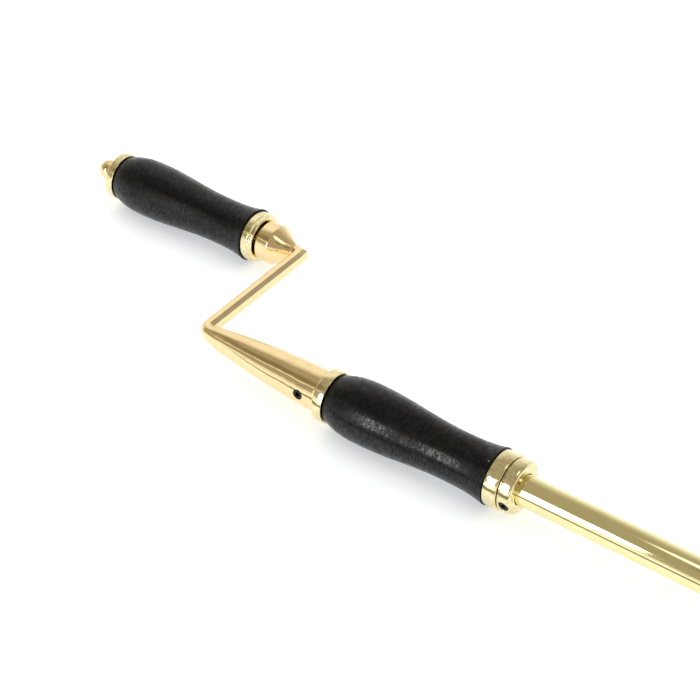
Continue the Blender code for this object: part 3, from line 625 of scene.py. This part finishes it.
def gripSpindle():
    axis = axisOf("grip_spindle")
    shoulder = axisOf("ball_nut")["end"] + fitGap
    stud = ballShape["stud"]
    corners = [(axis["start"], 0), (axis["start"], stud, 0.5 * mm), (shoulder, stud)]
    corners += [(shoulder, axis["radius"], 0.3 * mm), (axis["end"], axis["radius"], 0.6 * mm)]
    corners += [(axis["end"], 0)]
    return fitted(turned("gripSpindle", softened(corners), axis, closed=False), "grip_spindle", turnedSteel)


ballNut()
gripSpindle()
print("ball nut and spindle made")


# The crank is one casting: boss, arm and cone
crankShape = {
    "bossRadius": 11.5 * mm, "bossStraight": 7.9 * mm, "bossLength": 23.8 * mm, "bossFullness": 1.1,
    "armWidth": 7.0 * mm, "armHeight": 8.6 * mm, "armChamfer": 2.0 * mm, "edgeCrispness": 30,
    "coneRadius": 11.4 * mm, "coneFullness": 1.85, "coneLean": 2.0 * mm, "coneRoundLength": 40 * mm,
    "bendInner": 0.5 * mm, "bossSharpness": 0.7, "coneSharpness": 0.2,
    "spindleSeat": 13 * mm, "tubeSeat": 22 * mm, "mouthEase": 0.45 * mm,
    "bossRoundShare": 0.5, "pointsRound": 168, "easeSteps": 6,
    "bendSteps": 14, "taperSteps": 26, "armSteps": 10, "coneSteps": 64,
    "bossFlow": (8, 6, 10), "coneFlow": (10, 10, 24),   # rings before and after a bend, then passes
    "handFiling": 0.05 * mm, "filingSize": 11 * mm,
}
crankScrew = {
    "fromMouth": 9.4 * mm, "angle": math.radians(172), "tipDepth": 1.2 * mm, "headDrop": 0.5 * mm,
    "holeDrop": 0.2 * mm, "holeSink": 0.35 * mm,
}


def easeIn(share):
    share = min(max(share, 0.0), 1.0)
    return share * share * (3 - 2 * share)


def barFaces():
    # the eight sides of the arm's chamfered bar, as (facing, distance)
    halfWidth = crankShape["armWidth"] / 2
    halfHeight = crankShape["armHeight"] / 2
    chamfer = (halfWidth + halfHeight - crankShape["armChamfer"]) / math.sqrt(2)
    distances = (halfWidth, chamfer, halfHeight, chamfer) * 2
    return [(math.radians(45 * turn), distance) for turn, distance in enumerate(distances)]


def crankRing(centre, across, size, roundness):
    # one section of the casting, between the chamfered bar and a circle
    shape = crankShape
    faces = barFaces()
    middle = (shape["armWidth"] + shape["armHeight"]) / 4
    ring = []
    for angle in turnsOf(shape["pointsRound"]):
        reach = facetedReach(angle, faces, shape["edgeCrispness"]) * size / middle
        reach += (size - reach) * roundness
        ring.append(centre + across * (reach * math.cos(angle)) + Vector((0, 0, reach * math.sin(angle))))
    return ring


def bend(corner, side, first, second, sharpness):
    shape = crankShape
    middle = (shape["armWidth"] + shape["armHeight"]) / 4
    pivot = corner + (first + second) * (shape["armWidth"] / 2 + shape["bendInner"]) * side
    rings = []
    for angle in quarterTurns(shape["bendSteps"]):
        across = first * math.cos(angle) + second * math.sin(angle)
        cornerReach = 1 / max(math.cos(angle), math.sin(angle))
        outer = (shape["armWidth"] + shape["bendInner"]) * (1 + sharpness * (cornerReach - 1))
        centre = pivot - across * side * (outer + shape["bendInner"]) / 2
        width = (outer - shape["bendInner"]) / shape["armWidth"]
        rings.append(crankRing(centre, across * width, middle, 0.0))
    return rings


def flowing(rings, middle, before, after, passes):
    # relaxes the rings about a bend, so that one form flows into the next without a crease
    first, last = middle - before, middle + after
    for _ in range(passes):
        rings[first:last] = [
            [(back + ahead) / 4 + here / 2 for back, here, ahead in zip(*rings[index - 1:index + 2])]
            for index in range(first, last)]


def crankCasting():
    shape = crankShape
    low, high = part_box("crank")
    spindle = axisOf("grip_spindle")
    tube = axisOf("pole_tube")
    alongX = Vector((1, 0, 0))
    alongY = Vector((0, 1, 0))
    armLine = low.x + shape["bossLength"]
    top = Vector((armLine, spindle["y"], spindle["z"]))
    foot = Vector((armLine, tube["y"], tube["z"]))
    bottom = foot + alongY * shape["coneLean"]
    middle = (shape["armWidth"] + shape["armHeight"]) / 4
    clear = shape["armWidth"] / 2 + shape["bendInner"]
    face = top - alongX * shape["bossLength"]
    ease = shape["mouthEase"]

    rimTurns = quarterTurns(shape["easeSteps"])

    def circles(start, sections):
        # round sections, each (distance along X, radius)
        return [crankRing(start + alongX * along, alongY, radius, 1.0) for along, radius in sections]

    # blind bore for the spindle, then the boss's face and its eased rim
    bore = spindle["radius"] + fitGap
    rings = [[face + alongX * shape["spindleSeat"]]]
    rings += circles(face, [(shape["spindleSeat"], bore), (0.3 * mm, bore), (0, bore + 0.3 * mm)])
    rings += circles(face, [(ease * (1 - math.cos(turn)), shape["bossRadius"] - ease * (1 - math.sin(turn)))
                            for turn in rimTurns])

    # boss: a cylinder, a ridge, then a taper whose facets grow out of the round
    taper = shape["bossLength"] - shape["bossStraight"] - clear
    ridge = shape["bossLength"] - clear - taper
    rings.append(crankRing(face + alongX * (ridge - 0.35 * mm), alongY, shape["bossRadius"], 1.0))
    for step in range(shape["taperSteps"]):
        share = max(step, 0.4) / shape["taperSteps"]
        radius = shape["bossRadius"] - (shape["bossRadius"] - middle) * share ** shape["bossFullness"]
        centre = top - alongX * (clear + taper * (1 - share))
        facets = easeIn((share - shape["bossRoundShare"]) / (1 - shape["bossRoundShare"]))
        rings.append(crankRing(centre, alongY, radius, 1 - facets))

    # arm between its two bends
    topBend = len(rings)
    rings += bend(top, -1, alongY, alongX, shape["bossSharpness"])
    for step in range(1, shape["armSteps"]):
        rings.append(crankRing(top.lerp(bottom, step / shape["armSteps"]), alongX, middle, 0.0))
    rings += bend(bottom, 1, alongX, alongY, shape["coneSharpness"])
    footBend = len(rings)

    # long cone, then its mouth and the seat for the tube
    coneLength = high.x - armLine
    for step in range(1, shape["coneSteps"] + 1):
        along = clear + (coneLength - ease - clear) * step / shape["coneSteps"]
        left = 1 - along / coneLength
        centre = foot + alongX * along + alongY * shape["coneLean"] * left
        radius = shape["coneRadius"] - (shape["coneRadius"] - middle) * left ** shape["coneFullness"]
        rings.append(crankRing(centre, alongY, radius, easeIn(along / shape["coneRoundLength"])))
    flowing(rings, topBend, *shape["bossFlow"])
    flowing(rings, footBend, *shape["coneFlow"])
    mouth = foot + alongX * coneLength
    rings += circles(mouth, [(-ease * (1 - math.sin(turn)), shape["coneRadius"] - ease * (1 - math.cos(turn)))
                             for turn in rimTurns[1:]])
    bore = tube["radius"] + fitGap
    rings += circles(mouth, [(0, bore + 0.3 * mm), (-0.3 * mm, bore), (-shape["tubeSeat"], bore)])
    rings.append([mouth - alongX * shape["tubeSeat"]])

    piece = skinned("crankCasting", rings)
    # a filed and polished casting is never quite true, so its skin dips a little
    for vertex in piece.data.vertices:
        dip = (noise.noise(vertex.co / shape["filingSize"]) + 1) / 2
        vertex.co -= vertex.normal * dip * shape["handFiling"]
    drilled(piece, high.x - crankScrew["fromMouth"], crankScrew["angle"], tube, tube["radius"],
            shape["coneRadius"] - crankScrew["holeDrop"], crankScrew["holeSink"])
    return fitted(piece, "crank", castBrass)


crankCasting()
print("crank made")


# Grub screws with a hexagon socket
grubShape = {
    "radius": 2.5 * mm, "ease": 0.35 * mm, "tipRadius": 1.9 * mm, "tipLength": 0.5 * mm, "pointsRound": 72,
    "hex": 2.5 * mm, "hexDepth": 2.0 * mm, "hexLeadIn": 0.15 * mm, "hexPoint": 0.35 * mm,
}


def grubScrew(name, node, angle, axis, tip, head):
    shape = grubShape
    radius = shape["radius"]
    floor = head - min(shape["hexDepth"], (head - tip) / 2)

    def hexagon(scale):
        return lambda turn: hexagonReach(turn, shape["hex"] / 2 * scale, 60)

    outline = [(tip, shape["tipRadius"]), (tip + shape["tipLength"], radius)]
    outline += [(head - shape["ease"], radius), (head, radius - shape["ease"]), (head, hexagon(1.12))]
    outline += [(head - shape["hexLeadIn"], hexagon(1.0)), (floor, hexagon(1.0))]
    rings = [ringRound(centreLine, along, reach, shape["pointsRound"]) for along, reach in outline]
    rings = [[(tip, 0, 0)]] + rings + [[(floor - shape["hexPoint"], 0, 0)]]
    piece = skinned(name, rings)
    shadeFinely(piece.data, 30)
    piece.data.transform(outwards(middleOf(node), angle, axis))
    return fitted(piece, node, blackScrew)


tubeAxis = axisOf("pole_tube")
grubScrew("crankGrubScrew", "crank_set_screw", crankScrew["angle"], tubeAxis,
          tubeAxis["radius"] - crankScrew["tipDepth"], crankShape["coneRadius"] - crankScrew["headDrop"])


# The tube, its plugs and the stop collar
tubeShape = {"wall": 1.2 * mm, "ease": 0.25 * mm}
collarShape = {
    "nearEase": 0.4 * mm, "round": 1.8 * mm, "arcSteps": 12,
    "screwAngle": math.radians(191), "screwSink": 0.5 * mm, "holeDrop": 0.25 * mm, "holeSink": 0.3 * mm,
}


def poleTube():
    axis = tubeAxis
    inner = axis["radius"] - tubeShape["wall"]
    piece = turned("poleTube", softened(sleeveCorners(axis, inner, tubeShape["ease"])), axis)
    drilled(piece, middleOf("crank_set_screw"), crankScrew["angle"], axis, inner, axis["radius"], 0.1 * mm)
    return fitted(piece, "pole_tube", tubeBrass)


def plug(name, node, bore):
    axis = axisOf(node)
    ease = 0.4 * mm
    corners = sleeveCorners(axis, bore, ease)
    if not bore:
        corners[0] = (axis["start"], 0)
        corners[-1] = (axis["end"], 0)
    return fitted(turned(name, softened(corners), axis, closed=bool(bore)), node, turnedSteel)


def stopCollar():
    axis = axisOf("stop_collar")
    shape = collarShape
    bore = tubeAxis["radius"] + fitGap
    corners = [(axis["start"], bore, 0.3 * mm), (axis["start"], axis["radius"], shape["nearEase"])]
    for turn in quarterTurns(shape["arcSteps"]):
        along = axis["end"] - shape["round"] * (1 - math.sin(turn))
        corners.append((along, axis["radius"] - shape["round"] * (1 - math.cos(turn))))
    corners.append((axis["end"], bore, 0.35 * mm))
    piece = turned("stopCollar", softened(corners), axis)
    drilled(piece, middleOf("collar_set_screw"), shape["screwAngle"], axis, bore,
            axis["radius"] - shape["holeDrop"], shape["holeSink"])
    grubScrew("collarGrubScrew", "collar_set_screw", shape["screwAngle"], axis, bore,
              axis["radius"] - shape["screwSink"])
    return fitted(piece, "stop_collar", turnedBrass)


poleTube()
plug("crankEndPlug", "crank_end_plug", 0)
stopCollar()
print("tube and collar made")


# The hook's end
socketShape = {
    "straight": 14 * mm, "noseRadius": 7.2 * mm, "ease": 0.7 * mm, "taperSteps": 28,
    "grooves": (1.9 * mm, 3.1 * mm, 12.4 * mm), "grooveDepth": 0.35 * mm, "grooveHalf": 0.3 * mm,
    "screwAngle": math.radians(180), "screwSink": 0.25 * mm, "holeDrop": 0.3 * mm, "holeSink": 0.2 * mm,
}
hookShape = {
    "wire": 3.2 * mm, "neckTurn": math.radians(60), "pastBottom": math.radians(30),
    "threadPitch": 1.0 * mm, "threadDepth": 0.42 * mm, "threadPastNut": 1.6 * mm,
    "pointsRound": 48, "step": math.radians(2.5),
    "tipRound": 2.6 * mm, "tipClosing": 0.93, "tipFullness": 2.4,
}
nutShape = {
    "flat": 5.5 * mm, "pointsRound": 96, "chamfer": 0.75 * mm, "chamferDip": 0.1 * mm, "chamferSteps": 5,
}
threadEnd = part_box("hook_lock_nut")[1].x + hookShape["threadPastNut"]


def hookSocket():
    axis = axisOf("hook_socket")
    shape = socketShape
    tubeBore = tubeAxis["radius"] + fitGap
    shankBore = hookShape["wire"] + fitGap
    seatEnd = tubeAxis["end"] + fitGap
    taperStart = axis["start"] + shape["straight"]
    taperEnd = axis["end"] - shape["ease"]
    corners = [(axis["start"], tubeBore, 0.3 * mm), (axis["start"], axis["radius"], shape["ease"])]
    for groove in shape["grooves"]:   # fine turned lines
        for side, depth in ((-1, 0), (0, shape["grooveDepth"]), (1, 0)):
            along = axis["start"] + groove + side * shape["grooveHalf"]
            corners.append((along, axis["radius"] - depth, 0.12 * mm))
    corners.append((taperStart, axis["radius"]))
    for step in range(1, shape["taperSteps"] + 1):
        share = step / shape["taperSteps"]
        drop = (axis["radius"] - shape["noseRadius"]) * share ** 2
        corners.append((taperStart + (taperEnd - taperStart) * share, axis["radius"] - drop))
    corners += [(axis["end"], shape["noseRadius"] - shape["ease"], 0.3 * mm)]
    corners += [(axis["end"], shankBore, 0.3 * mm), (seatEnd, shankBore), (seatEnd, tubeBore)]
    piece = turned("hookSocket", softened(corners), axis)
    drilled(piece, middleOf("socket_set_screw"), shape["screwAngle"], axis, tubeBore,
            axis["radius"] - shape["holeDrop"], shape["holeSink"])
    grubScrew("socketGrubScrew", "socket_set_screw", shape["screwAngle"], axis, tubeBore,
              axis["radius"] - shape["screwSink"])
    return fitted(piece, "hook_socket", turnedBrass)


def hookRoute(low, high):
    # centre line in the hook's upright plane: (along, height, direction, threaded)
    shape = hookShape
    eye = (high.z - low.z) / 2 - shape["wire"]
    neck = eye * math.cos(shape["neckTurn"]) / (1 - math.cos(shape["neckTurn"]))
    centre = high.x - eye - shape["wire"]
    neckStart = centre - (eye + neck) * math.sin(shape["neckTurn"])
    pitchStep = shape["threadPitch"] / 10
    route = []
    along = low.x
    while along < threadEnd:
        route.append((along, 0.0, 0.0, True))
        along += pitchStep
    for step in range(5):
        route.append((threadEnd + (neckStart - threadEnd) * step / 5, 0.0, 0.0, False))
    count = round(shape["neckTurn"] / shape["step"])
    for step in range(count):
        turn = shape["neckTurn"] * step / count
        route.append((neckStart + neck * math.sin(turn), neck * (1 - math.cos(turn)), turn, False))
    start = math.radians(90) + shape["neckTurn"]
    sweep = start + math.radians(90) + shape["pastBottom"]
    count = round(sweep / shape["step"])
    for step in range(count + 1):
        angle = start - sweep * step / count
        heading = angle - math.radians(90)
        route.append((centre + eye * math.cos(angle), eye * math.sin(angle), heading, False))
    return route


def hookBar():
    shape = hookShape
    low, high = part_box("hook")
    route = hookRoute(low, high)
    rings = [[(low.x, tubeAxis["y"], tubeAxis["z"])]]
    left = 0.0   # length from here to the tip
    distances = []
    for before, here in zip(route[:-1][::-1], route[1:][::-1]):
        distances.append(left)
        left += math.hypot(here[0] - before[0], here[1] - before[1])
    distances.append(left)
    for (along, height, heading, threaded), toTip in zip(route, distances[::-1]):
        out = Vector((-math.sin(heading), 0, math.cos(heading)))
        radius = shape["wire"]
        if toTip < shape["tipRound"]:
            share = 1 - toTip / shape["tipRound"]
            radius *= math.sqrt(1 - (share * shape["tipClosing"]) ** shape["tipFullness"])
        ring = []
        for turn in turnsOf(shape["pointsRound"]):
            reach = radius
            if threaded:
                pitches = (along - low.x) / shape["threadPitch"]
                phase = (pitches - turn / math.tau) % 1
                fade = min(1, (threadEnd - along) / shape["threadPitch"], pitches + 0.2)
                reach -= shape["threadDepth"] * fade * (1 - abs(2 * phase - 1))
            side = Vector((0, math.cos(turn), 0)) + out * math.sin(turn)
            ring.append(Vector((along, tubeAxis["y"], tubeAxis["z"] + height)) + side * reach)
        rings.append(ring)
    lastAlong, lastHeight = route[-1][:2]
    rings.append([(lastAlong, tubeAxis["y"], tubeAxis["z"] + lastHeight)])
    return fitted(skinned("hookBar", rings), "hook", castBrass)


def hookLockNut():
    axis = axisOf("hook_lock_nut")
    low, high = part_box("hook_lock_nut")
    cornersUpright = (high.z - low.z) > (high.y - low.y)
    offset = math.radians(0 if cornersUpright else 30)
    corner = nutShape["flat"] / math.cos(math.radians(30))
    bore = hookShape["wire"] + fitGap
    waist = nutShape["flat"] - nutShape["chamferDip"]

    def ring(along, limit):
        def reach(turn):
            return min(hexagonReach(turn + offset, nutShape["flat"], 120), limit)
        return ringRound(axis, along, reach, nutShape["pointsRound"])

    rings = [ring(axis["start"], bore + 0.3 * mm)]
    chamferSteps = nutShape["chamferSteps"]
    for end, direction in ((axis["start"], 1), (axis["end"], -1)):
        order = range(chamferSteps + 1) if direction > 0 else range(chamferSteps, -1, -1)
        for step in order:
            inset = nutShape["chamfer"] * step / chamferSteps
            limit = waist + (corner - waist) * step / chamferSteps
            rings.append(ring(end + direction * inset, limit))
    rings.append(ring(axis["end"], bore + 0.3 * mm))
    rings += [ring(axis["end"] - 0.3 * mm, bore), ring(axis["start"] + 0.3 * mm, bore)]
    piece = skinned("hookLockNut", rings, closed=True)
    shadeFinely(piece.data, 24)
    return fitted(piece, "hook_lock_nut", castBrass)


hookSocket()
plug("hookEndPlug", "hook_end_plug", hookShape["wire"] + fitGap)
hookBar()
hookLockNut()
print("hook made")


# Floor, light and camera
studio = {
    "floorSize": 12.0, "floorColour": (0.88, 0.92, 0.98), "floorGlow": 0.45,
    "ceiling": (0.44, 0.395, 0.30), "horizon": (1.05, 1.05, 1.03),
    "frontClear": (0.10, 0.30), "backClear": (0.05, 0.92),   # where the walls fade to the ceiling
    "darkCorner": (0.66, 0.58, 0.42), "darkCornerLight": 0.55,
}


def floorOrCard(name, size):
    half = size / 2
    mesh = bpy.data.meshes.new(name)
    corners = [(-half, -half, 0), (half, -half, 0), (half, half, 0), (-half, half, 0)]
    mesh.from_pydata(corners, [], [(0, 1, 2, 3)])
    piece = bpy.data.objects.new(name, mesh)
    bpy.context.scene.collection.objects.link(piece)
    material = bpy.data.materials.new(name)
    material.use_nodes = True
    mesh.materials.append(material)
    return piece, material.node_tree


def layFloor():
    tree = floorOrCard("paleFloor", studio["floorSize"])[1]
    shader = tree.nodes["Principled BSDF"]
    shader.inputs["Base Color"].default_value = (*studio["floorColour"], 1)
    shader.inputs["Roughness"].default_value = 0.85
    shader.inputs["Specular IOR Level"].default_value = 0.1
    shader.inputs["Emission Color"].default_value = (*studio["floorColour"], 1)
    shader.inputs["Emission Strength"].default_value = studio["floorGlow"]


def aimed(piece, centre, target):
    # faces a lamp or a card at a target, with its width kept along the rod
    back = (Vector(centre) - Vector(target)).normalized()
    alongRod = Vector((1, 0, 0))
    side = (alongRod - back * alongRod.dot(back)).normalized()
    turn = Matrix((side, back.cross(side), back)).transposed().to_4x4()
    piece.matrix_world = Matrix.Translation(centre) @ turn
    piece.visible_camera = False


def softPanel(name, centre, target, size, radiance, inReflections=True):
    # a soft box whose brightness doesn't depend on its size
    lamp = bpy.data.lights.new(name, "AREA")
    lamp.shape = "RECTANGLE"
    lamp.size = size[0]
    lamp.size_y = size[1]
    lamp.energy = radiance * math.pi * size[0] * size[1]
    panel = bpy.data.objects.new(name, lamp)
    aimed(panel, centre, target)
    panel.visible_glossy = inReflections
    bpy.context.scene.collection.objects.link(panel)


def reflectionCard(name, centre, target, size, colour, core):
    # an oval card that only polished metal sees, solid out to its core and then fading away
    card, tree = floorOrCard(name, 1.0)
    aimed(card, centre, target)
    card.matrix_world = card.matrix_world @ Matrix.Diagonal((size[0], size[1], 1, 1))
    card.visible_diffuse = False
    card.visible_transmission = False
    card.visible_shadow = False
    place = tree.nodes.new("ShaderNodeTexCoord")
    distance = tree.nodes.new("ShaderNodeVectorMath")
    distance.operation = "LENGTH"
    tree.links.new(place.outputs["Object"], distance.inputs[0])
    glow = tree.nodes.new("ShaderNodeEmission")
    glow.inputs["Color"].default_value = (*colour, 1)
    clear = tree.nodes.new("ShaderNodeBsdfTransparent")
    blend = tree.nodes.new("ShaderNodeMixShader")
    tree.links.new(ranged(tree, distance.outputs["Value"], 0.5 * core, 0.5), blend.inputs["Fac"])
    tree.links.new(glow.outputs[0], blend.inputs[1])
    tree.links.new(clear.outputs[0], blend.inputs[2])
    tree.links.new(blend.outputs[0], tree.nodes["Material Output"].inputs["Surface"])


def roomLight():
    # white walls that fade to a dim ceiling, sooner at the front, and one dark corner
    world = bpy.data.worlds.new("room")
    bpy.context.scene.world = world
    world.use_nodes = True
    tree = world.node_tree
    place = tree.nodes.new("ShaderNodeTexCoord")
    split = tree.nodes.new("ShaderNodeSeparateXYZ")
    tree.links.new(place.outputs["Generated"], split.inputs[0])
    front, back = studio["frontClear"], studio["backClear"]
    fadeStart = ranged(tree, split.outputs["Y"], -0.3, 0.3, front[0], back[0])
    fadeEnd = ranged(tree, split.outputs["Y"], -0.3, 0.3, front[1], back[1])
    height = ranged(tree, split.outputs["Z"], fadeStart, fadeEnd)
    colour = mixed(tree, height, studio["horizon"], studio["ceiling"])
    corner = tree.nodes.new("ShaderNodeVectorMath")
    corner.operation = "DOT_PRODUCT"
    corner.inputs[1].default_value = studio["darkCorner"]
    tree.links.new(place.outputs["Generated"], corner.inputs[0])
    shade = ranged(tree, corner.outputs["Value"], 0.86, 0.98, 1.0, studio["darkCornerLight"])
    tree.links.new(colour, tree.nodes["Background"].inputs["Color"])
    tree.links.new(shade, tree.nodes["Background"].inputs["Strength"])


viewpoint = {
    "lens": 94.99, "sensor": 36, "place": (0.15940, -0.60262, 0.62883),
    "azimuth": math.radians(36.5), "elevation": math.radians(39.611), "roll": math.radians(-0.128),
}


def lookThrough():
    camera = bpy.data.cameras.new("camera")
    camera.lens = viewpoint["lens"]
    camera.sensor_width = viewpoint["sensor"]
    camera.clip_start = 0.01
    viewer = bpy.data.objects.new("camera", camera)
    azimuth, elevation = viewpoint["azimuth"], viewpoint["elevation"]
    right = Vector((math.cos(azimuth), math.sin(azimuth), 0))
    level = Vector((math.sin(azimuth), -math.cos(azimuth), 0))
    back = level * math.cos(elevation) + Vector((0, 0, math.sin(elevation)))
    turn = Matrix((right, back.cross(right), back)).transposed().to_4x4()
    turn = turn @ Matrix.Rotation(viewpoint["roll"], 4, "Z")
    viewer.matrix_world = Matrix.Translation(viewpoint["place"]) @ turn
    bpy.context.scene.collection.objects.link(viewer)
    bpy.context.scene.camera = viewer


onCrank = (-0.30, -0.043, 0.016)
onBoss = (-0.37, 0.043, 0.020)
cards = {
    # centre, target, size, colour and solid core of each card
    "crankCard": ((-0.456, 0.143, 0.193), onCrank, (0.48, 0.42), (1.08, 1.05, 1.0), 0.15),
    "darkCard": ((-0.590, -0.250, 0.385), onCrank, (0.56, 0.28), (0.26, 0.22, 0.13), 0.2),
    "lineCard": ((-0.580, -0.345, 0.304), onCrank, (0.56, 0.045), (1.2, 1.15, 1.05), 0.2),
    "bossCard": ((-0.134, -0.020, 0.336), onBoss, (0.24, 0.16), (2.0, 1.95, 1.9), 0.4),
    "bossShade": ((-0.112, -0.138, 0.266), onBoss, (0.13, 0.09), (0.14, 0.12, 0.09), 0.4),
    # painted shadow: a dark strip lying on the floor in front of the rod, seen only in the polished metal,
    # stands in for the rod's own shadow in its reflections
    "reflectedShadowStrip": ((0.0, -0.150, 0.001), (0.0, -0.150, 1.0), (1.3, 0.12), (0.28, 0.27, 0.20), 0.6),
}

layFloor()
roomLight()
softPanel("overheadPanel", (0.0, 0.6, 2.4), (-0.1, 0, 0), (4.0, 4.0), 0.8, inReflections=False)
softPanel("frontPanel", (-0.89, -1.75, 0.58), (-0.15, 0, 0.02), (0.30, 1.10), 9.0)
for name, card in cards.items():
    reflectionCard(name, *card)
lookThrough()
bpy.context.scene.view_settings.view_transform = "Standard"
print("studio set")
